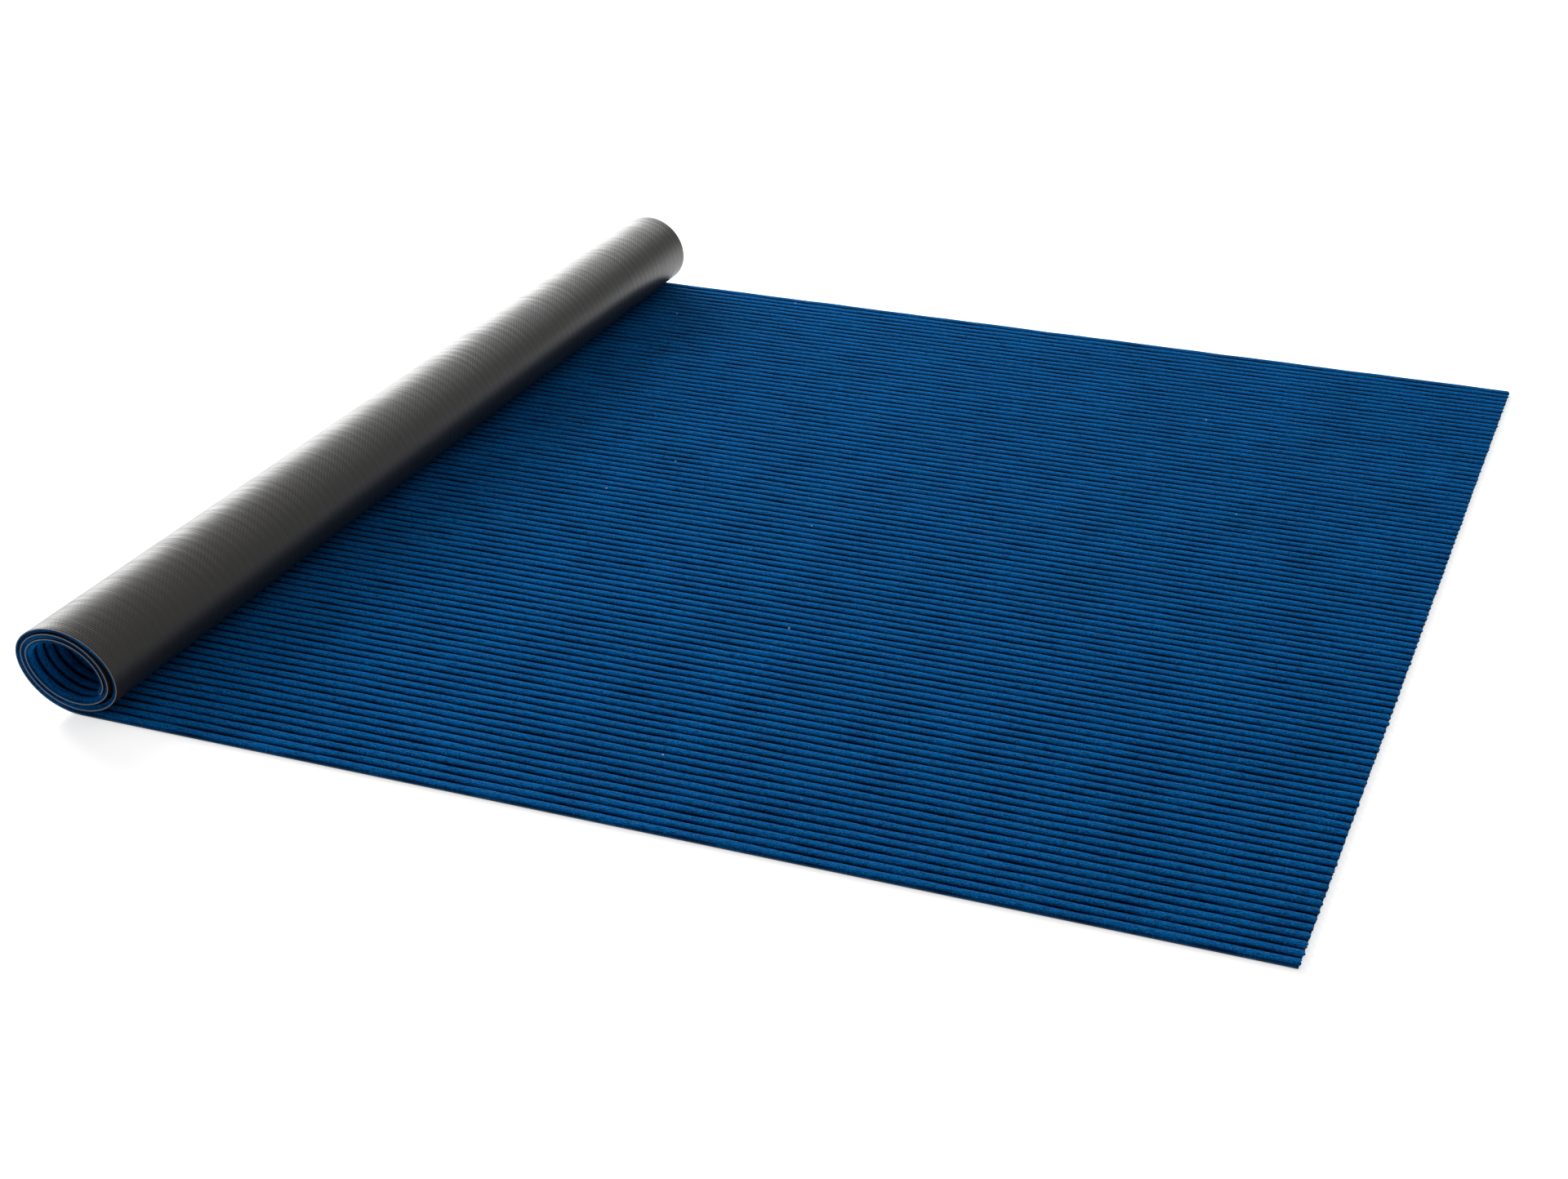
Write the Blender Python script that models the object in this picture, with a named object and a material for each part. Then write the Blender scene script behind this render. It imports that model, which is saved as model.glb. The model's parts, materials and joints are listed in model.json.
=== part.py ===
"""A mat of ribbed needle felt on a vinyl backing, partly rolled up.

Metres, +Z up. X runs along the sheet, from the roll to the cut end, and Y
across it. The flat run is one body. The rolled run is one flexible sheet,
held here as strips that turn on each other along lines of the backing's
outer face, so that the roll can open until the sheet lies flat.
"""

import math
from dataclasses import dataclass

import bmesh
import bpy
from mathutils import Vector

# The sheet
WIDTH = 0.900
FLAT_LENGTH = 0.779
BACKING_THICK = 0.0006
FELT_THICK = 0.0023
BOND_CLEAR = 0.0003

# The roll, as the backing's outer face
STRIP_COUNT = 23
STRIP_ANGLE = math.radians(45.0)
OUTER_RADIUS = 0.0337
OVAL = 0.0060
OVAL_TILT = math.radians(18.0)
TURN_CLEAR = 0.0012

# How it is made into pieces
STRIP_CLEAR = 0.0003
ARC_STEPS = 6
SHARP_ANGLE = math.radians(30.0)

SHEET_THICK = BACKING_THICK + BOND_CLEAR + FELT_THICK
TURN_PITCH = SHEET_THICK + TURN_CLEAR
STRIPS_PER_TURN = 2.0 * math.pi / STRIP_ANGLE

FELT_LOOK = ((0.006, 0.105, 0.325, 1.0), 0.95)
BACKING_LOOK = ((0.058, 0.056, 0.052, 1.0), 0.45)


@dataclass
class Strip:
    """One arc of the rolled run: where its outer face starts and turns."""

    start: Vector
    turned: float
    radius: float

    def outward(self, angle):
        """Return the direction out of the roll once the sheet has turned this far."""
        return Vector((-math.sin(angle), -math.cos(angle)))

    def point(self, angle, depth=0.0):
        """Return the point (x, z) at this angle and depth below the outer face."""
        centre = self.start - self.radius * self.outward(self.turned)
        return centre + (self.radius - depth) * self.outward(angle)

    @property
    def end(self):
        """Return where the outer face ends, which is the next strip's start."""
        return self.point(self.turned + STRIP_ANGLE)


def strip_radius(index, turned):
    """Return the bend radius of one strip, on an oval that shrinks turn by turn."""
    middle = turned + STRIP_ANGLE / 2.0
    shrunk = OUTER_RADIUS - index * TURN_PITCH / STRIPS_PER_TURN
    return shrunk + OVAL * math.cos(2.0 * (middle - OVAL_TILT))


def rolled_strips():
    """Return the strips in order, from the flat run to the sheet's inner end."""
    strips = []
    start = Vector((0.0, 0.0))
    for index in range(STRIP_COUNT):
        turned = index * STRIP_ANGLE
        strip = Strip(start, turned, strip_radius(index, turned))
        strips.append(strip)
        start = strip.end
    middle = (FLAT_LENGTH + lowest_x(strips)) / 2.0
    for strip in strips:
        strip.start = strip.start - Vector((middle, 0.0))
    return strips


def lowest_x(strips):
    """Return how far the outer face reaches on the roll's side."""
    steps = [STRIP_ANGLE * step / ARC_STEPS for step in range(ARC_STEPS + 1)]
    return min(s.point(s.turned + step).x for s in strips for step in steps)


def arc_section(strip, top, bottom):
    """Return the closed outline of one layer of a strip, in (x, z)."""
    inset = STRIP_CLEAR / 2.0 / strip.radius
    first = strip.turned + inset
    sweep = STRIP_ANGLE - 2.0 * inset
    angles = [first + sweep * step / ARC_STEPS for step in range(ARC_STEPS + 1)]
    outer = [strip.point(angle, top) for angle in angles]
    inner = [strip.point(angle, bottom) for angle in reversed(angles)]
    return outer + inner


def flat_section(first_x, top, bottom):
    """Return the outline of one layer of the flat run, in (x, z)."""
    start = first_x + STRIP_CLEAR / 2.0
    end = first_x + FLAT_LENGTH
    return [Vector((start, top)), Vector((end, top)), Vector((end, bottom)), Vector((start, bottom))]


def make_material(name, look):
    """Return a Principled material of one colour and roughness."""
    colour, roughness = look
    material = bpy.data.materials.new(name)
    material.use_nodes = True
    shader = material.node_tree.nodes["Principled BSDF"]
    shader.inputs["Base Color"].default_value = colour
    shader.inputs["Roughness"].default_value = roughness
    shader.inputs["Metallic"].default_value = 0.0
    material.diffuse_color = colour
    return material


def make_layer(name, section, origin, material):
    """Extrude an outline across the mat's width and place it by its origin."""
    mesh = bpy.data.meshes.new(name)
    shape = bmesh.new()
    near = [
        shape.verts.new((p.x - origin.x, -WIDTH / 2.0, p.y - origin.y))
        for p in section
    ]
    cap = shape.faces.new(near)
    extruded = bmesh.ops.extrude_face_region(shape, geom=[cap])
    far = [item for item in extruded["geom"] if isinstance(item, bmesh.types.BMVert)]
    bmesh.ops.translate(shape, verts=far, vec=(0.0, WIDTH, 0.0))
    bmesh.ops.recalc_face_normals(shape, faces=shape.faces)
    shape.to_mesh(mesh)
    shape.free()
    mesh.shade_smooth()
    mesh.set_sharp_from_angle(angle=SHARP_ANGLE)
    mesh.materials.append(material)
    obj = bpy.data.objects.new(name, mesh)
    obj.location = (origin.x, 0.0, origin.y)
    bpy.context.scene.collection.objects.link(obj)
    return obj


def build():
    """Make the flat run and every strip of the rolled run."""
    for obj in list(bpy.data.objects):
        bpy.data.objects.remove(obj, do_unlink=True)
    felt = make_material("felt", FELT_LOOK)
    backing = make_material("backing", BACKING_LOOK)
    strips = rolled_strips()
    felt_top = BACKING_THICK + BOND_CLEAR
    origin = strips[0].start
    section = flat_section(origin.x, 0.0, BACKING_THICK)
    make_layer("backing_flat", section, origin, backing)
    section = flat_section(origin.x, felt_top, SHEET_THICK)
    make_layer("felt_flat", section, origin, felt)
    for number, strip in enumerate(strips, start=1):
        section = arc_section(strip, 0.0, BACKING_THICK)
        make_layer(f"backing_roll_{number:02d}", section, strip.start, backing)
        section = arc_section(strip, felt_top, SHEET_THICK)
        make_layer(f"felt_roll_{number:02d}", section, strip.start, felt)


if __name__ == "__main__":
    build()
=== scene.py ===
"""A ribbed needle-felt mat on a vinyl backing, partly rolled up with its pile inside.

The sheet is one surface, followed from its cut end along the flat run and round
the roll. It is made in lengths that meet halfway along the roll's strips, and each
length bends across one hinge line.
Metres, +Z up, X along the sheet and Y across it.
"""

from __future__ import annotations

import json
import logging
import math
from collections.abc import Sequence
from dataclasses import dataclass, field
from enum import Enum

import bmesh
import bpy
import numpy as np
from mathutils import Matrix, Vector

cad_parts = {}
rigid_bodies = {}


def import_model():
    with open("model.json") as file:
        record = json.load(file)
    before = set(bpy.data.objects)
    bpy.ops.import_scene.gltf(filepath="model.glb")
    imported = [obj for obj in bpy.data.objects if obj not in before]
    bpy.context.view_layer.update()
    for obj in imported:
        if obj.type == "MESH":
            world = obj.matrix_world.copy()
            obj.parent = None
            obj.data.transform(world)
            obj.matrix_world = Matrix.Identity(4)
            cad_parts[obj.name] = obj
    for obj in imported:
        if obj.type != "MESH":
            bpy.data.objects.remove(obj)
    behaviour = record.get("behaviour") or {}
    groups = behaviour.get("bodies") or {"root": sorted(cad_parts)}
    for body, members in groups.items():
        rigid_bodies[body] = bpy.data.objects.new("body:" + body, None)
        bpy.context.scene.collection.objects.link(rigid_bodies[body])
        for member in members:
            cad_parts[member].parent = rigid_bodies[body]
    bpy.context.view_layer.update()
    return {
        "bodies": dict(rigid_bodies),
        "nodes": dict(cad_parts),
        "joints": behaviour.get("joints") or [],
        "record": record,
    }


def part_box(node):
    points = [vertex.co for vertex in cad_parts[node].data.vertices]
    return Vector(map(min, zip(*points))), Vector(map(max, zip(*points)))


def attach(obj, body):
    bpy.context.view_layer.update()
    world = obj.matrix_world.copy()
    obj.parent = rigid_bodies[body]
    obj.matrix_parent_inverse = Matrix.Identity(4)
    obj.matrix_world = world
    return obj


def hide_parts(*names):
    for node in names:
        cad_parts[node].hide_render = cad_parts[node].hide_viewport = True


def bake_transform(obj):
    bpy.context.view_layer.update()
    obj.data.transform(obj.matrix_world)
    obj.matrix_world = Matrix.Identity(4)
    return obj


LOG = logging.getLogger("ribbed_mat")
MM = 0.001
SEED = 7
# The names of each piece's map, and of its attribute that says how high on a rib it is.
SHEET_MAP = "sheet"
RIB_HEIGHT = "rib"
# What that attribute says where there are no ribs: on edges and on the backing.
NO_RIB = 0.6
# A length too small to matter.
HAIR = 1e-6

Faces = list[list[int]]


class Slot(Enum):
    """The record's material slots."""

    FELT = "felt"
    BACKING = "backing"


# ---------------------------------------------------------------- the sheet's form


@dataclass(frozen=True)
class RollEnd:
    """The roll's section at one end, as the backing's outer face."""

    radius: float
    oval: float
    tilt: float
    slack: float

    @property
    def level_oval(self) -> float:
        """Return the part of the oval that lies level."""
        return self.oval * math.cos(2.0 * self.tilt)

    @property
    def leaning_oval(self) -> float:
        """Return the part of the oval that leans at half a right angle."""
        return self.oval * math.sin(2.0 * self.tilt)


@dataclass(frozen=True)
class SheetForm:
    """Where the sheet goes: flat from the cut end, then round and round the roll.

    A place on the sheet is its turn (how far the sheet has turned, in radians, or
    minus the distance in metres on the flat run), how far it is across, and its
    depth in from the backing's outer face towards the pile.
    """

    start_x: float
    width: float
    flat_length: float
    last_turn: float
    turn_pitch: float = 3.6 * MM
    near: RollEnd = RollEnd(34.8 * MM, 5.36 * MM, math.radians(17.2), 2.9 * MM)
    far: RollEnd = RollEnd(33.5 * MM, 1.40 * MM, math.radians(34.5), 1.4 * MM)
    slack_from: tuple[float, ...] = (math.radians(505.0), math.radians(865.0))
    slack_span: float = math.radians(250.0)
    tongue_sink: float = 0.15 * MM
    length_steps: int = 2000

    def share(self, across: np.ndarray) -> np.ndarray:
        """Return 0 at the near edge and 1 at the far edge."""
        return across / self.width + 0.5

    def mixed(self, name: str, across: np.ndarray) -> np.ndarray:
        """Return one of the roll's measures, mixed from its two ends.

        Args:
            name: the measure's name on RollEnd.
            across: places across the sheet.

        Returns:
            The measure at each place.
        """
        low, high = getattr(self.near, name), getattr(self.far, name)
        return low + (high - low) * self.share(across)

    def slackness(self, turn: np.ndarray) -> tuple[np.ndarray, np.ndarray]:
        """Return how far the inner turns fall away from the outer one.

        Args:
            turn: the turn, from 0 where the sheet starts to bend.

        Returns:
            The share of the roll's slack at each turn, and how fast it changes.
        """
        value, slope = np.zeros_like(turn), np.zeros_like(turn)
        for first in self.slack_from:
            part = np.clip((turn - first) / self.slack_span, 0.0, 1.0)
            value += np.sin(math.pi * part) ** 2
            slope += np.sin(2.0 * math.pi * part) * math.pi / self.slack_span
        return value, slope

    def place(
        self, turn: np.ndarray, across: np.ndarray, depth: np.ndarray | float
    ) -> np.ndarray:
        """Return the points of the sheet at these places.

        Args:
            turn: the turn, or minus the distance on the flat run.
            across: the distance from the middle, across the sheet.
            depth: the distance in from the backing's outer face.

        Returns:
            The points, with x, y and z in the last axis.
        """
        turn, across, depth = np.broadcast_arrays(turn, across, depth)
        rolled = np.maximum(turn, 0.0)
        pitch = self.turn_pitch / (2.0 * math.pi)
        level, lean = self.mixed("level_oval", across), self.mixed("leaning_oval", across)
        radius, slack = self.mixed("radius", across), self.mixed("slack", across)
        fall, fall_slope = self.slackness(rolled)
        cos2, sin2 = np.cos(2.0 * rolled), np.sin(2.0 * rolled)
        reach = radius - pitch * rolled - level * cos2 - lean * sin2 - slack * fall
        swing = -pitch + 2.0 * (level * sin2 - lean * cos2) - slack * fall_slope
        middle_x = self.start_x - pitch - 2.0 * lean
        middle_z = radius - level
        sin1, cos1 = np.sin(rolled), np.cos(rolled)
        x = middle_x - (reach - depth) * sin1 - swing * cos1 - np.minimum(turn, 0.0)
        z = middle_z - (reach - depth) * cos1 + swing * sin1
        return np.stack([x, across, z], axis=-1)

    def length_along(self, turn: np.ndarray) -> np.ndarray:
        """Return the distance along the sheet's middle line, from the first bend.

        Args:
            turn: the turn, or minus the distance on the flat run.

        Returns:
            The distance at each turn, below 0 on the flat run.
        """
        steps = np.linspace(0.0, self.last_turn, self.length_steps)
        line = self.place(steps, np.zeros_like(steps), np.zeros_like(steps))
        run = np.concatenate([[0.0], np.cumsum(np.linalg.norm(np.diff(line, axis=0), axis=1))])
        return np.interp(turn, steps, run) + np.minimum(turn, 0.0)


# ---------------------------------------------------------------- lengths of a layer


@dataclass(frozen=True)
class Layer:
    """One layer's places: its rows along the sheet and its columns across."""

    turns: np.ndarray
    across: np.ndarray
    top: np.ndarray
    bottom: float
    shift: np.ndarray
    ribs: np.ndarray
    pile_side: bool


@dataclass(frozen=True)
class SheetLength:
    """One closed length of a layer, bent to the sheet's form.

    Its main face is the side that shows: the ribs of the felt, or the backing's outer
    face. Its last tongue rows lie sunk inside the next length, so that no crack shows
    between the two when the roll opens.
    """

    name: str
    form: SheetForm
    layer: Layer
    edge_material: int = 0
    tongue_rows: int = 0
    normal_step: float = 2.0 * MM

    @property
    def turns(self) -> np.ndarray:
        """Return the turn at every place of the main face."""
        return np.repeat(self.layer.turns[:, None], self.layer.top.shape[1], axis=1)

    def build(self) -> bpy.types.Object:
        """Build the length, with its map, its rib attribute and its shading.

        Returns:
            The new object, at the origin.
        """
        main, under, sides, caps = self.faces()
        faces = [*main, *under, *sides, *caps]
        if not self.layer.pile_side:
            faces = [face[::-1] for face in faces]
        mesh = bpy.data.meshes.new(self.name)
        mesh.from_pydata(self.points().tolist(), [], faces)
        mesh.validate()
        piece = bpy.data.objects.new(self.name, mesh)
        bpy.context.scene.collection.objects.link(piece)
        turn_outwards(mesh)
        self.add_map(mesh)
        self.add_rib_heights(mesh)
        first = len(main) + len(under)
        for polygon in mesh.polygons[first : first + len(sides)]:
            polygon.material_index = self.edge_material
        self.smooth(mesh, len(main))
        return piece

    def points(self) -> np.ndarray:
        """Place the length's points.

        Returns:
            The main face's points, row by row, then each row's two lower corners.
        """
        form, layer, turns = self.form, self.layer, self.turns
        rows = len(turns)
        sunk = np.where(np.arange(rows) < rows - self.tongue_rows, 0.0, form.tongue_sink)
        sunk = sunk[:, None]
        inward = sunk if layer.pile_side else -sunk
        across = layer.across * (1.0 - 2.0 * sunk / form.width)
        at = turns - np.where(turns <= 0.0, layer.shift, 0.0)
        full = form.place(at, across, layer.top - inward)
        edge = form.place(at[:, [0, -1]], across[:, [0, -1]], layer.bottom + inward)
        return np.concatenate([full.reshape(-1, 3), edge.reshape(-1, 3)])

    def faces(self) -> tuple[Faces, Faces, Faces, Faces]:
        """Join the points into a closed shell.

        Returns:
            The faces of the main side, the under side, the side edges and the two caps.
        """
        rows, columns = self.layer.top.shape
        grid = np.arange(rows * columns).reshape(rows, columns)
        low = rows * columns + np.arange(rows * 2).reshape(rows, 2)
        main = [grid[:-1, :-1], grid[:-1, 1:], grid[1:, 1:], grid[1:, :-1]]
        under = [low[1:, 0], low[1:, 1], low[:-1, 1], low[:-1, 0]]
        near = [grid[1:, 0], low[1:, 0], low[:-1, 0], grid[:-1, 0]]
        far = [grid[:-1, -1], low[:-1, 1], low[1:, 1], grid[1:, -1]]
        main, under, near, far = (
            np.stack(corners, axis=-1).reshape(-1, 4).tolist()
            for corners in (main, under, near, far)
        )
        caps = [
            [*grid[0, ::-1].tolist(), *low[0].tolist()],
            [*grid[-1].tolist(), *low[-1, ::-1].tolist()],
        ]
        return main, under, [*near, *far], caps

    def add_map(self, mesh: bpy.types.Mesh) -> None:
        """Give the mesh a map in metres: the distance along the sheet, and across it.

        Args:
            mesh: the length's mesh.
        """
        across = self.layer.across
        along = self.form.length_along(self.layer.turns)
        flat = np.stack([np.repeat(along, across.shape[1]), across.ravel()], axis=-1)
        edge = np.stack([np.repeat(along, 2), across[:, [0, -1]].ravel()], axis=-1)
        places = np.concatenate([flat, edge])[corner_points(mesh)]
        sheet_map = mesh.uv_layers.new(name=SHEET_MAP)
        sheet_map.data.foreach_set("uv", places.astype(np.float32).ravel())

    def add_rib_heights(self, mesh: bpy.types.Mesh) -> None:
        """Give each point its height on a rib, from 0 in a groove to 1 on a crest.

        Args:
            mesh: the length's mesh.
        """
        ribs = self.layer.ribs
        heights = np.concatenate([ribs.ravel(), np.full(2 * len(ribs), NO_RIB)])
        attribute = mesh.attributes.new(RIB_HEIGHT, "FLOAT", "POINT")
        attribute.data.foreach_set("value", heights.astype(np.float32))

    def smooth(self, mesh: bpy.types.Mesh, main_faces: int) -> None:
        """Shade the main face by the form's own normals, so that lengths meet unseen.

        Args:
            mesh: the length's mesh.
            main_faces: how many faces the main face has; they come first.
        """
        mesh.shade_smooth()
        totals = np.empty(len(mesh.polygons), np.int32)
        mesh.polygons.foreach_get("loop_total", totals)
        flat_normals = np.empty(len(mesh.polygons) * 3, np.float32)
        mesh.polygons.foreach_get("normal", flat_normals)
        split = np.repeat(flat_normals.reshape(-1, 3), totals, axis=0).astype(float)
        own = np.repeat(np.arange(len(totals)) < main_faces, totals)
        split[own] = self.main_normals().reshape(-1, 3)[corner_points(mesh)[own]]
        mesh.normals_split_custom_set(split.tolist())

    def main_normals(self) -> np.ndarray:
        """Work out the main face's outward normals from the form.

        Returns:
            The normals, row by row.
        """
        turns, across, step = self.turns, self.layer.across, self.normal_step
        flat = turns <= 0.0
        gap = np.maximum(np.gradient(across, axis=1), HAIR)
        slope = np.gradient(self.layer.top, axis=1) / gap
        sin1 = np.where(flat, 0.0, np.sin(turns))
        cos1 = np.where(flat, 1.0, np.cos(turns))
        before, after = (self.form.place(turns, across + way, 0.0) for way in (-step, step))
        ahead = after - before
        lean = (ahead[..., 0] * sin1 + ahead[..., 2] * cos1) / (2.0 * step)
        inward = np.stack([sin1, -(slope + lean), cos1], axis=-1)
        inward /= np.linalg.norm(inward, axis=-1, keepdims=True)
        return inward if self.layer.pile_side else -inward


def corner_points(mesh: bpy.types.Mesh) -> np.ndarray:
    """Return the point number of each face corner.

    Args:
        mesh: any mesh.

    Returns:
        The point numbers, in the mesh's order of corners.
    """
    corners = np.empty(len(mesh.loops), np.int32)
    mesh.loops.foreach_get("vertex_index", corners)
    return corners


def turn_outwards(mesh: bpy.types.Mesh) -> None:
    """Point all the faces of a closed mesh outwards.

    Args:
        mesh: the mesh, which is changed.
    """
    shape = bmesh.new()
    shape.from_mesh(mesh)
    if shape.calc_volume(signed=True) < 0.0:
        bmesh.ops.reverse_faces(shape, faces=shape.faces)
        shape.to_mesh(mesh)
    shape.free()


# ---------------------------------------------------------------- the two layers


@dataclass(frozen=True)
class RibbedPile:
    """The ribbed face of needle felt: fat round ribs with narrow grooves between.

    Each rib sways and swells a little along its length, in waves of its own. The
    steps and heights give one rib's section, from its groove to the next, as shares
    of the pitch and of the height. The waves are lengths with their share of the sway.
    """

    width: float
    count: int = 102
    crest: float = 3.2 * MM
    groove: float = 1.35 * MM
    bottom: float = 0.62 * MM
    edge_cut: float = 0.10
    edge_clear: float = 0.01
    steps: tuple[float, ...] = (0.0, 0.08, 0.17, 0.32, 0.50, 0.68, 0.83, 0.92)
    heights: tuple[float, ...] = (0.0, 0.30, 0.72, 0.95, 1.0, 0.95, 0.72, 0.30)
    sway: float = 0.22 * MM
    sway_waves: tuple[tuple[float, float], ...] = ((21.0 * MM, 1.0), (8.7 * MM, 0.7))
    swell: float = 0.09 * MM
    swell_waves: tuple[tuple[float, float], ...] = ((13.0 * MM, 1.0), (6.1 * MM, 0.8))
    # How much a rib's swell adds to the height that the colour reads: painted shade, darker where
    # the rib sinks, lighter where it swells.
    swell_painted_shade: float = 0.08
    scallop: float = 1.7 * MM
    scallop_fade: tuple[float, float] = (4.0 * MM, 12.0 * MM)
    fray: float = 0.28 * MM
    round_at: tuple[float, ...] = (0.0, 0.35 * MM, 1.0 * MM, 2.5 * MM)
    round_share: tuple[float, ...] = (0.45, 0.80, 0.96, 1.0)

    @property
    def pitch(self) -> float:
        """Return the distance from rib to rib."""
        return self.width / (self.count - 2.0 * self.edge_cut)

    def columns(self) -> tuple[np.ndarray, np.ndarray, np.ndarray]:
        """Lay out the columns across the ribs, from edge to edge.

        Returns:
            Each column's place across, its share of the rib's height, and its rib.
        """
        turn = (np.arange(self.count)[:, None] + np.array(self.steps)).ravel()
        turn = np.append(turn, float(self.count))
        high = np.append(np.tile(self.heights, self.count), self.heights[0])
        low, top = self.edge_cut, self.count - self.edge_cut
        inside = (turn > low + self.edge_clear) & (turn < top - self.edge_clear)
        at = np.concatenate([[low], turn[inside], [top]])
        share = np.interp(at, turn, high)
        rib = np.floor(at).astype(int)
        return (at - low) * self.pitch - self.width / 2.0, share, rib

    def layer(self, form: SheetForm, turns: np.ndarray, cut_end: bool = False) -> Layer:
        """Return the felt's places for these rows.

        Args:
            form: the sheet's form.
            turns: the rows' turns.
            cut_end: whether the first rows round off the sheet's cut end.

        Returns:
            The layer, with the ribs as its main face.
        """
        at, share, rib = self.columns()
        along = form.length_along(turns)[:, None]
        chance = np.random.default_rng(SEED)
        waves = (*self.sway_waves, *self.swell_waves)
        phases = chance.uniform(0.0, 2.0 * math.pi, (len(waves), self.count + 1))[:, rib]
        waved = [
            size * np.sin(along / reach + phase)
            for (reach, size), phase in zip(waves, phases, strict=True)
        ]
        sway = sum(waved[: len(self.sway_waves)])
        swell = sum(waved[len(self.sway_waves) :])
        inner = (np.abs(at) < self.width / 2.0 - HAIR).astype(float)
        across = at + self.sway * sway * inner
        height = self.groove + (self.crest - self.groove) * share
        top = height + self.swell * swell * share
        shift = np.zeros_like(top)
        if cut_end:
            from_end = (turns - turns[0])[:, None]
            fray = chance.normal(0.0, self.fray, (1, len(at)))
            bulge = self.scallop * (share - 0.5) + fray
            shift = bulge * np.interp(from_end, self.scallop_fade, (1.0, 0.0))
            rounding = np.interp(from_end, self.round_at, self.round_share)
            top = self.bottom + (top - self.bottom) * rounding
        # Painted shade: the colour follows this height, so a rib is painted lighter where it
        # swells and darker where it sinks.
        ribs = np.clip(share + self.swell_painted_shade * swell, 0.0, 1.0)
        return Layer(turns, across, top, self.bottom, shift, ribs, True)


@dataclass(frozen=True)
class VinylBacking:
    """The thin smooth backing that the felt is bonded to."""

    width: float
    thick: float = 0.6 * MM
    columns: int = 37

    def layer(self, turns: np.ndarray) -> Layer:
        """Return the backing's places for these rows.

        Args:
            turns: the rows' turns.

        Returns:
            The layer, with its outer face as the main one.
        """
        at = np.linspace(-self.width / 2.0, self.width / 2.0, self.columns)
        across = at + np.zeros((len(turns), 1))
        blank = np.zeros_like(across)
        return Layer(turns, across, blank, self.thick, blank, blank + NO_RIB, False)


# ---------------------------------------------------------------- finishes

# The colour mix node's sockets, which share their names with its other kinds of mix.
MIX_SHARE, MIX_A, MIX_B, MIX_RESULT = 0, 6, 7, 2
# The wave texture's period at scale 1.
WAVE_PERIOD = math.pi / 10.0
WHITE = "FFFFFF"


def linear(code: str) -> tuple[float, float, float, float]:
    """Turn an sRGB hex colour to a linear one.

    Args:
        code: the colour as six hex digits.

    Returns:
        Linear red, green and blue, and full cover.
    """
    parts = [int(code[i : i + 2], 16) / 255.0 for i in (0, 2, 4)]
    red, green, blue = (
        part / 12.92 if part <= 0.04045 else ((part + 0.055) / 1.055) ** 2.4 for part in parts
    )
    return red, green, blue, 1.0


def fill(node: bpy.types.Node, inputs: dict[str | int, object]) -> None:
    """Fill or link a node's inputs.

    Args:
        node: the node.
        inputs: values or sockets, by input name or number.
    """
    for key, value in inputs.items():
        if isinstance(value, bpy.types.NodeSocket):
            node.id_data.links.new(value, node.inputs[key])
        else:
            node.inputs[key].default_value = value


def add_node(
    tree: bpy.types.NodeTree,
    kind: str,
    inputs: dict[str | int, object] | None = None,
    out: str | int = 0,
    **settings: object,
) -> bpy.types.NodeSocket:
    """Add a node, set its own settings, and fill or link its inputs.

    Args:
        tree: the material's node tree.
        kind: the node's type.
        inputs: values or sockets, by input name or number.
        out: the output that is wanted, by name or number.
        settings: the node's own properties.

    Returns:
        The wanted output.
    """
    node = tree.nodes.new(kind)
    for name, value in settings.items():
        setattr(node, name, value)
    fill(node, inputs or {})
    return node.outputs[out]


def new_material(name: str) -> tuple[bpy.types.Material, bpy.types.NodeTree, bpy.types.Node]:
    """Add a material with nodes.

    Args:
        name: the material's name.

    Returns:
        The material, its node tree, and its shader.
    """
    material = bpy.data.materials.new(name)
    material.use_nodes = True
    return material, material.node_tree, material.node_tree.nodes["Principled BSDF"]


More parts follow.
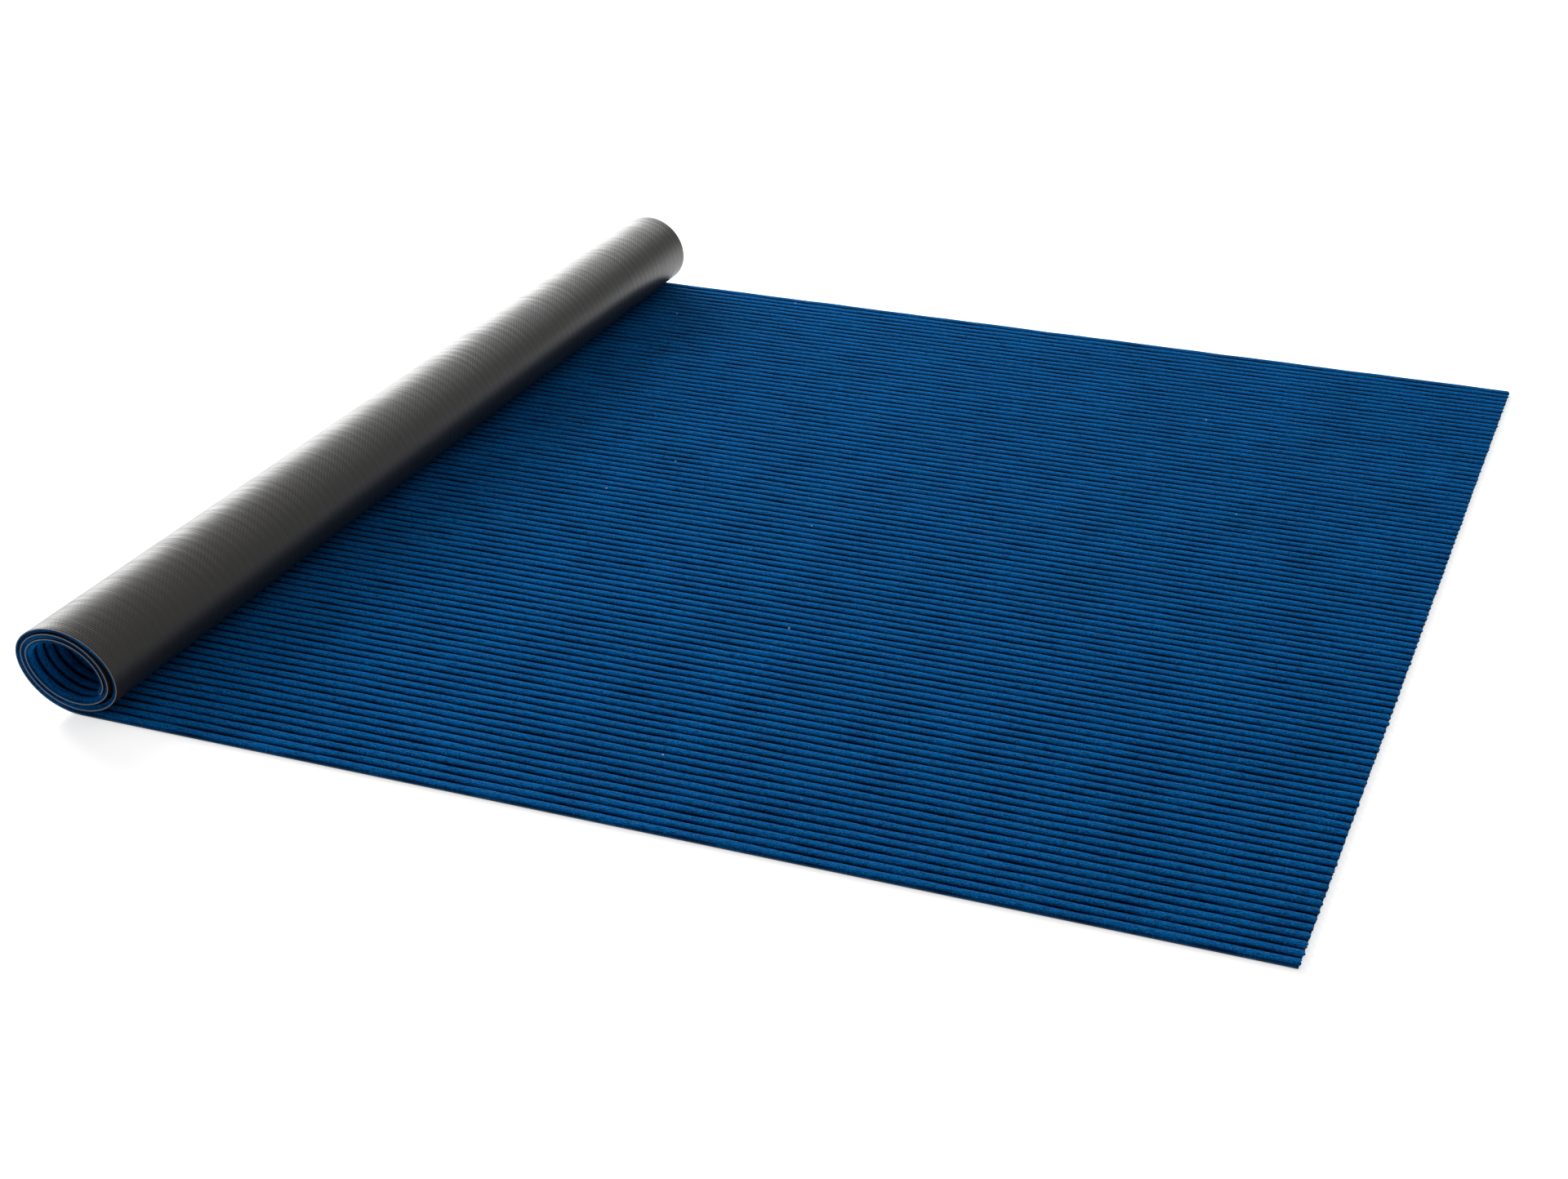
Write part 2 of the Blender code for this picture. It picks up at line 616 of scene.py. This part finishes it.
@dataclass(frozen=True)
class NeedleFelt:
    """Polypropylene fibre, needle-punched and structured into ribs.

    The fibres lie mostly along the ribs and scatter the light, so the face is matt,
    with a faint sheen at a low angle, streaks of lighter and darker fibre, and here
    and there a pale speck of lint. The grooves are painted nearly black as painted
    shade, and the colour goes from that up to the crests' blue. A single fibre is
    under 0.1 mm thick, too fine to show, so the streaks and grains are drawn about
    1 mm across, as coarse as clumps of it.
    """

    # The groove colour is painted shade: nearly black where the grooves fall into shade, running
    # up to the crest colour by the height on the rib.
    crest: str = "005392"
    groove: str = "000411"
    pale_fibre: str = "1A78AC"
    dark_fibre: str = "001F48"
    sheen_tint: str = "1E66B0"
    crest_from: tuple[float, float] = (0.24, 1.0)
    streak: tuple[float, float] = (5.0 * MM, 1.1 * MM)
    dark_from: tuple[float, float] = (0.53, 0.36)
    grain: float = 1.25 * MM
    pale_from: tuple[float, float] = (0.52, 0.66)
    fibre_cover: float = 0.85
    patch: float = 70.0 * MM
    patch_from: tuple[float, float] = (0.3, 0.7)
    patch_tone: tuple[float, float] = (0.92, 1.08)
    fuzz_depth: float = 0.45 * MM
    lint: str = "C9D3DA"
    lint_spacing: float = 9.0 * MM
    lint_size: tuple[float, float] = (0.085, 0.05)
    lint_chance: tuple[float, float] = (0.984, 0.988)
    lint_cover: float = 0.85

    def material(self) -> bpy.types.Material:
        """Make the felt's material.

        Returns:
            The material.
        """
        material, tree, shader = new_material("polypropylene_needle_felt")
        sheet = add_node(tree, "ShaderNodeUVMap", uv_map=SHEET_MAP)
        rib = add_node(tree, "ShaderNodeAttribute", out="Fac", attribute_name=RIB_HEIGHT)
        run = add_node(
            tree,
            "ShaderNodeMapping",
            {"Vector": sheet, "Scale": (1.0 / self.streak[0], 1.0 / self.streak[1], 1.0)},
        )
        streaks = add_node(
            tree,
            "ShaderNodeTexNoise",
            {"Vector": run, "Scale": 1.0, "Detail": 4.0, "Roughness": 0.6},
            out="Fac",
        )
        grains = add_node(
            tree,
            "ShaderNodeTexNoise",
            {"Vector": sheet, "Scale": 1.0 / self.grain, "Detail": 3.0, "Roughness": 0.65},
            out="Fac",
        )
        height = add_node(tree, "ShaderNodeMath", {0: streaks, 1: grains}, operation="MULTIPLY")
        fuzz = add_node(
            tree,
            "ShaderNodeBump",
            {"Height": height, "Distance": self.fuzz_depth, "Strength": 1.0},
        )
        fill(
            shader,
            {
                "Base Color": self.colour(tree, sheet, rib, streaks, grains),
                "Normal": fuzz,
                "Roughness": 0.95,
                "Specular IOR Level": 0.03,
                "Sheen Weight": 0.08,
                "Sheen Roughness": 0.5,
                "Sheen Tint": linear(self.sheen_tint),
            },
        )
        return material

    def colour(
        self,
        tree: bpy.types.NodeTree,
        sheet: bpy.types.NodeSocket,
        rib: bpy.types.NodeSocket,
        streaks: bpy.types.NodeSocket,
        grains: bpy.types.NodeSocket,
    ) -> bpy.types.NodeSocket:
        """Colour the ribs from the grooves' painted shade up to the crests, then lay dark and
        pale fibre, wide patches and lint on them.

        Args:
            tree: the material's node tree.
            sheet: the place on the sheet.
            rib: the height on the rib.
            streaks: the noise that runs along the ribs.
            grains: the even noise.

        Returns:
            The felt's colour.
        """
        # Painted shade: up to crest_from's height the colour goes from the near-black groove to
        # the crest's blue.
        face = add_node(
            tree,
            "ShaderNodeMapRange",
            {"Value": rib, "From Min": self.crest_from[0], "From Max": self.crest_from[1]},
            interpolation_type="SMOOTHSTEP",
        )
        dark = add_node(
            tree,
            "ShaderNodeMapRange",
            {
                "Value": streaks,
                "From Min": self.dark_from[0],
                "From Max": self.dark_from[1],
                "To Max": self.fibre_cover,
            },
        )
        pale = add_node(
            tree,
            "ShaderNodeMapRange",
            {
                "Value": grains,
                "From Min": self.pale_from[0],
                "From Max": self.pale_from[1],
                "To Max": self.fibre_cover,
            },
        )
        # Pale fibre shows only on the crests, so it stays off the grooves' painted shade.
        pale = add_node(tree, "ShaderNodeMath", {0: pale, 1: face}, operation="MULTIPLY")
        base: tuple[float, ...] | bpy.types.NodeSocket = linear(self.groove)
        for share, colour in (
            (face, self.crest),
            (dark, self.dark_fibre),
            (pale, self.pale_fibre),
        ):
            base = add_node(
                tree,
                "ShaderNodeMix",
                {MIX_SHARE: share, MIX_A: base, MIX_B: linear(colour)},
                out=MIX_RESULT,
                data_type="RGBA",
            )
        patches = add_node(
            tree,
            "ShaderNodeTexNoise",
            {"Vector": sheet, "Scale": 1.0 / self.patch, "Detail": 2.0},
            out="Fac",
        )
        tone = add_node(
            tree,
            "ShaderNodeMapRange",
            {
                "Value": patches,
                "From Min": self.patch_from[0],
                "From Max": self.patch_from[1],
                "To Min": self.patch_tone[0],
                "To Max": self.patch_tone[1],
            },
        )
        base = add_node(
            tree,
            "ShaderNodeMix",
            {MIX_SHARE: 1.0, MIX_A: base, MIX_B: tone},
            out=MIX_RESULT,
            data_type="RGBA",
            blend_type="MULTIPLY",
        )
        return add_node(
            tree,
            "ShaderNodeMix",
            {MIX_SHARE: self.specks(tree, sheet), MIX_A: base, MIX_B: linear(self.lint)},
            out=MIX_RESULT,
            data_type="RGBA",
        )

    def specks(
        self, tree: bpy.types.NodeTree, sheet: bpy.types.NodeSocket
    ) -> bpy.types.NodeSocket:
        """Scatter a few specks of lint: a dot in the middle of a few chosen cells.

        Args:
            tree: the material's node tree.
            sheet: the place on the sheet.

        Returns:
            How much lint covers each place.
        """
        cells = add_node(
            tree,
            "ShaderNodeTexVoronoi",
            {"Vector": sheet, "Scale": 1.0 / self.lint_spacing},
            out="Distance",
        )
        dot = add_node(
            tree,
            "ShaderNodeMapRange",
            {"Value": cells, "From Min": self.lint_size[0], "From Max": self.lint_size[1]},
        )
        chance = add_node(
            tree, "ShaderNodeSeparateColor", {"Color": cells.node.outputs["Color"]}, out="Red"
        )
        chosen = add_node(
            tree,
            "ShaderNodeMapRange",
            {
                "Value": chance,
                "From Min": self.lint_chance[0],
                "From Max": self.lint_chance[1],
                "To Max": self.lint_cover,
            },
        )
        return add_node(tree, "ShaderNodeMath", {0: dot, 1: chosen}, operation="MULTIPLY")


@dataclass(frozen=True)
class EmbossedVinyl:
    """Calendered vinyl, embossed with two sets of fine lines.

    It is satin: the lines break a broad highlight into fine dashes, the felt's ribs
    show through as faint bands that run round the roll, and the rollers leave long
    dragged streaks. The embossed lines are about 1 mm apart, too fine to show, so
    they are drawn twice as coarse.
    """

    colour: str = "23201C"
    line_pitch: float = 2.1 * MM
    line_depth: float = 0.055 * MM
    line_crossing: float = math.radians(62.0)
    band_pitch: float = 8.84 * MM
    band_depth: float = 0.05 * MM
    drag: tuple[float, float] = (160.0 * MM, 2.6 * MM)
    drag_depth: float = 0.10 * MM
    drag_from: tuple[float, float] = (0.3, 0.7)
    roughness: tuple[float, float] = (0.30, 0.46)
    ior: float = 1.52

    def material(self) -> bpy.types.Material:
        """Make the backing's material.

        Returns:
            The material.
        """
        material, tree, shader = new_material("embossed_vinyl")
        sheet = add_node(tree, "ShaderNodeUVMap", uv_map=SHEET_MAP)
        relief: dict[str, bpy.types.NodeSocket] = {}
        for angle, pitch, depth in (
            (0.0, self.band_pitch, self.band_depth),
            (0.0, self.line_pitch, self.line_depth),
            (self.line_crossing, self.line_pitch, self.line_depth),
        ):
            turned = add_node(
                tree, "ShaderNodeMapping", {"Vector": sheet, "Rotation": (0.0, 0.0, angle)}
            )
            wave = add_node(
                tree,
                "ShaderNodeTexWave",
                {"Vector": turned, "Scale": WAVE_PERIOD / pitch, "Distortion": 0.0},
                out="Fac",
                wave_type="BANDS",
                bands_direction="Y",
                wave_profile="SIN",
            )
            bump = add_node(
                tree, "ShaderNodeBump", {"Height": wave, "Distance": depth, **relief}
            )
            relief = {"Normal": bump}
        dragged = add_node(
            tree,
            "ShaderNodeMapping",
            {"Vector": sheet, "Scale": (1.0 / self.drag[0], 1.0 / self.drag[1], 1.0)},
        )
        streaks = add_node(
            tree,
            "ShaderNodeTexNoise",
            {"Vector": dragged, "Scale": 1.0, "Detail": 3.0, "Roughness": 0.6},
            out="Fac",
        )
        bump = add_node(
            tree, "ShaderNodeBump", {"Height": streaks, "Distance": self.drag_depth, **relief}
        )
        rough = add_node(
            tree,
            "ShaderNodeMapRange",
            {
                "Value": streaks,
                "From Min": self.drag_from[0],
                "From Max": self.drag_from[1],
                "To Min": self.roughness[0],
                "To Max": self.roughness[1],
            },
        )
        colour = linear(self.colour)
        fill(
            shader, {"Base Color": colour, "Normal": bump, "Roughness": rough, "IOR": self.ior}
        )
        return material


@dataclass(frozen=True)
class CutVinyl:
    """The backing's edge where the knife went through: grainy and quite matt, and painted paler
    for the light it catches on the roll.
    """

    # Painted light: this paler grey stands for light that the cut edge catches.
    colour: str = "666163"
    grain: float = 0.7 * MM
    grain_depth: float = 0.1 * MM

    def material(self) -> bpy.types.Material:
        """Make the cut edge's material.

        Returns:
            The material.
        """
        material, tree, shader = new_material("cut_edge_painted_light")
        place = add_node(tree, "ShaderNodeTexCoord", out="Object")
        grain = add_node(
            tree, "ShaderNodeTexNoise", {"Vector": place, "Scale": 1.0 / self.grain}, out="Fac"
        )
        bump = add_node(
            tree, "ShaderNodeBump", {"Height": grain, "Distance": self.grain_depth}
        )
        fill(shader, {"Base Color": linear(self.colour), "Normal": bump, "Roughness": 0.8})
        return material


# ---------------------------------------------------------------- the mat


@dataclass(frozen=True)
class Hinge:
    """One line that the roll opens about, between two of the frame's bodies."""

    number: int
    parent: str
    child: str
    at: Vector
    turn: float
    half_strip: float

    @property
    def first_turn(self) -> float:
        """Return where this hinge's length of sheet starts."""
        return self.turn - self.half_strip if self.number > 1 else 0.0

    @property
    def last_turn(self) -> float:
        """Return where this hinge's length of sheet ends."""
        return self.turn + self.half_strip


@dataclass
class RolledMat:
    """The whole mat, in lengths laid out along the frame's hinge lines."""

    frame: dict
    cut_end_rows: tuple[float, ...] = (0.0, 0.35 * MM, 1.0 * MM, 2.5 * MM, 6.0 * MM)
    even_rows_from: float = 12.0 * MM
    even_rows: int = 112
    flat_backing_rows: int = 9
    turn_per_row: float = math.radians(5.0)
    tongue_turn: float = math.radians(5.0)
    tongue_rows: tuple[float, ...] = (0.02, 1.0)
    flat_share: float = 0.326
    hinges: list[Hinge] = field(init=False)
    form: SheetForm = field(init=False)
    pile: RibbedPile = field(init=False)
    backing: VinylBacking = field(init=False)
    felt: bpy.types.Material = field(init=False)
    vinyl: bpy.types.Material = field(init=False)
    cut_vinyl: bpy.types.Material = field(init=False)

    def __post_init__(self) -> None:
        """Read the hinge lines and the flat run's size from the frame."""
        joints = self.frame["joints"]
        strip = math.radians(joints[1]["range_deg"][1])
        low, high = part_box("backing_flat")
        self.hinges = [
            Hinge(n, j["parent"], j["child"], Vector(j["pos_m"]), (n - 1) * strip, strip / 2.0)
            for n, j in enumerate(joints, start=1)
        ]
        start_x = joints[0]["pos_m"][0]
        width = round(high.y - low.y, 4)
        self.form = SheetForm(start_x, width, high.x - start_x, len(joints) * strip)
        self.pile = RibbedPile(width)
        self.backing = VinylBacking(width)
        self.felt = NeedleFelt().material()
        self.vinyl = EmbossedVinyl().material()
        self.cut_vinyl = CutVinyl().material()

    def build(self) -> None:
        """Build the flat run and every length of the rolled run."""
        self.build_flat_run()
        for hinge in self.hinges:
            self.build_bend(hinge)

    def build_flat_run(self) -> None:
        """Build the felt and the backing of the flat run, which keeps its place."""
        form, length = self.form, self.form.flat_length
        rest = np.linspace(self.even_rows_from, length, self.even_rows)
        turns = np.concatenate([self.cut_end_rows, rest]) - length
        turns[-1] = 0.0
        layer = self.pile.layer(form, turns, cut_end=True)
        pile = SheetLength("pile_flat", form, layer).build()
        layer = self.backing.layer(np.linspace(-length, 0.0, self.flat_backing_rows))
        # The flat run's side edges keep the dark vinyl; only the roll's same edges are painted
        # paler.
        under = SheetLength("vinyl_flat", form, layer).build()
        self.dress(pile, [self.felt])
        self.dress(under, [self.vinyl])
        for piece, node in ((pile, "felt_flat"), (under, "backing_flat")):
            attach(piece, "flat_run")
            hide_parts(node)

    def build_bend(self, hinge: Hinge) -> None:
        """Build the felt and the backing that bend across one hinge line.

        Args:
            hinge: the hinge line.
        """
        form = self.form
        last = hinge.number == len(self.hinges)
        end = form.last_turn if last else hinge.last_turn
        rows = round((end - hinge.first_turn) / self.turn_per_row) + 1
        turns = np.linspace(hinge.first_turn, end, max(rows, 2))
        along = form.length_along(turns)
        tongue = [] if last else [end + self.tongue_turn * share for share in self.tongue_rows]
        turns = np.append(turns, tongue)
        tag, sunk = f"{hinge.number:02d}", len(tongue)
        layer = self.pile.layer(form, turns)
        pile = SheetLength(f"pile_bend_{tag}", form, layer, tongue_rows=sunk).build()
        layer = self.backing.layer(turns)
        # On the roll the backing's side edges take the paler cut edge, which is painted light.
        under = SheetLength(f"vinyl_bend_{tag}", form, layer, 1, sunk).build()
        self.dress(pile, [self.felt])
        self.dress(under, [self.vinyl, self.cut_vinyl])
        start, stop = self.bend_span(hinge)
        for piece in (pile, under):
            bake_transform(piece)
        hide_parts(f"felt_roll_{tag}")
        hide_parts(f"backing_roll_{tag}")

    def bend_span(self, hinge: Hinge) -> tuple[Vector, Vector]:
        """Return the span over which the sheet would turn at a hinge to open flat.

        Args:
            hinge: the hinge line.

        Returns:
            The span's start and end, on the line that the sheet follows at the hinge.
        """
        way = Vector((-math.cos(hinge.turn), 0.0, math.sin(hinge.turn)))
        ends = np.array([hinge.turn - hinge.half_strip, hinge.turn + hinge.half_strip])
        places = self.form.place(ends, np.zeros(2), np.zeros(2))
        before, after = ((Vector(place) - hinge.at).dot(way) for place in places)
        if hinge.number == 1:
            return hinge.at, hinge.at + way * 2.0 * after
        span = (after - before) / (1.0 - 2.0 * self.flat_share)
        first = before - self.flat_share * span
        return hinge.at + way * first, hinge.at + way * (first + span)

    def dress(
        self, piece: bpy.types.Object, materials: Sequence[bpy.types.Material]
    ) -> None:
        """Give a piece its materials, and report it.

        Args:
            piece: the piece.
            materials: its materials, in the order that its faces count them.
        """
        for material in materials:
            piece.data.materials.append(material)
        LOG.info("%s: %d faces", piece.name, len(piece.data.polygons))


# ---------------------------------------------------------------- studio


@dataclass(frozen=True)
class SoftBox:
    """One large soft light, aimed at a point."""

    name: str
    place: tuple[float, float, float]
    aim: tuple[float, float, float]
    size: tuple[float, float]
    power: float
    mirrored: bool = True

    def build(self) -> None:
        """Hang the light; one that isn't mirrored lights the mat but not its gloss."""
        data = bpy.data.lights.new(self.name, "AREA")
        data.shape = "RECTANGLE"
        data.size, data.size_y = self.size
        data.energy = self.power
        light = bpy.data.objects.new(self.name, data)
        light.location = self.place
        toward = Vector(self.aim) - Vector(self.place)
        light.rotation_euler = toward.to_track_quat("-Z", "Y").to_euler()
        light.visible_glossy = self.mirrored
        bpy.context.scene.collection.objects.link(light)


@dataclass
class Studio:
    """The pale floor, the soft light and the camera."""

    start_x: float
    camera_from_bend: tuple[float, float, float] = (0.936077, -1.597562, 0.775337)
    heading: float = -0.376175464
    dip: float = 0.453157162
    cant: float = -0.00248082
    lens: float = 57.7898
    sensor: float = 36.0
    clip: tuple[float, float] = (0.05, 100.0)
    floor_colour: str = "F7F7F7"
    floor_half: float = 20.0
    floor_gap: float = 0.6 * MM
    ramp_from_bend: float = 5.0 * MM
    ramp_run: float = 45.0 * MM
    ramp_fall: float = 10.0 * MM
    ramp_rows: int = 17
    floor_glow: float = 0.5
    sky: float = 0.50
    lights: tuple[SoftBox, ...] = (
        SoftBox("back_left_panel", (-2.6, 1.9, 1.15), (-0.1, 0.1, 0.0), (2.6, 1.2), 170.0, False),
        SoftBox("low_back_panel", (-2.2, 3.0, 0.75), (-0.4, 0.1, 0.05), (4.4, 1.5), 105.0),
    )

    def build(self) -> None:
        """Build the floor, the lights and the camera."""
        self.build_floor()
        self.build_sky()
        for light in self.lights:
            light.build()
        self.build_camera()

    def build_floor(self) -> None:
        """Lay a wide pale floor, a little lower past the roll.

        The opened sheet keeps some of its curl there and dips below the flat run. The
        floor is matt acrylic, lit from below, so that it stays white round the mat and
        the mat's shadow on it is faint.
        """
        edge = self.start_x - self.ramp_from_bend
        steps = np.linspace(0.0, 1.0, self.ramp_rows)
        runs = [self.floor_half, *(edge - self.ramp_run * steps), -self.floor_half]
        falls = [0.0, *(steps * steps * (3.0 - 2.0 * steps)), 1.0]
        points = [
            (x, y, -self.floor_gap - self.ramp_fall * fall)
            for x, fall in zip(runs, falls, strict=True)
            for y in (-self.floor_half, self.floor_half)
        ]
        faces = [(2 * i, 2 * i + 1, 2 * i + 3, 2 * i + 2) for i in range(len(runs) - 1)]
        mesh = bpy.data.meshes.new("floor")
        mesh.from_pydata(points, [], faces)
        mesh.shade_smooth()
        floor = bpy.data.objects.new("floor", mesh)
        bpy.context.scene.collection.objects.link(floor)
        material, _, shader = new_material("backlit_acrylic_floor")
        fill(
            shader,
            {
                "Base Color": linear(self.floor_colour),
                "Roughness": 0.9,
                "Specular IOR Level": 0.1,
                "Emission Color": linear(WHITE),
                "Emission Strength": self.floor_glow,
            },
        )
        mesh.materials.append(material)

    def build_sky(self) -> None:
        """Light the whole scene with an even pale surround.

        Colours are shown as they are, because a film curve greys the felt's deep blue.
        """
        world = bpy.data.worlds.new("surround")
        world.use_nodes = True
        background = world.node_tree.nodes["Background"]
        fill(background, {"Color": linear(WHITE), "Strength": self.sky})
        bpy.context.scene.world = world
        bpy.context.scene.view_settings.view_transform = "Standard"

    def build_camera(self) -> None:
        """Set the camera at its place, with its heading, dip and cant."""
        ahead = Vector(
            (
                math.sin(self.heading) * math.cos(self.dip),
                math.cos(self.heading) * math.cos(self.dip),
                -math.sin(self.dip),
            )
        )
        level = Vector((math.cos(self.heading), -math.sin(self.heading), 0.0))
        above = level.cross(ahead)
        right = level * math.cos(self.cant) + above * math.sin(self.cant)
        up = above * math.cos(self.cant) - level * math.sin(self.cant)
        data = bpy.data.cameras.new("camera")
        data.lens = self.lens
        data.sensor_width = self.sensor
        data.clip_start, data.clip_end = self.clip
        camera = bpy.data.objects.new("camera", data)
        x, y, z = self.camera_from_bend
        turned = Matrix((right, up, -ahead)).transposed().to_4x4()
        camera.matrix_world = Matrix.Translation((self.start_x + x, y, z)) @ turned
        bpy.context.scene.collection.objects.link(camera)
        bpy.context.scene.camera = camera


def main() -> None:
    """Build the mat, the floor, the light and the camera around the frame."""
    logging.basicConfig(level=logging.INFO, format="%(message)s")
    for obj in list(bpy.data.objects):
        bpy.data.objects.remove(obj, do_unlink=True)
    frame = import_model()
    mat = RolledMat(frame)
    mat.build()
    Studio(mat.form.start_x).build()
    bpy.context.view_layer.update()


if __name__ == "__main__":
    main()
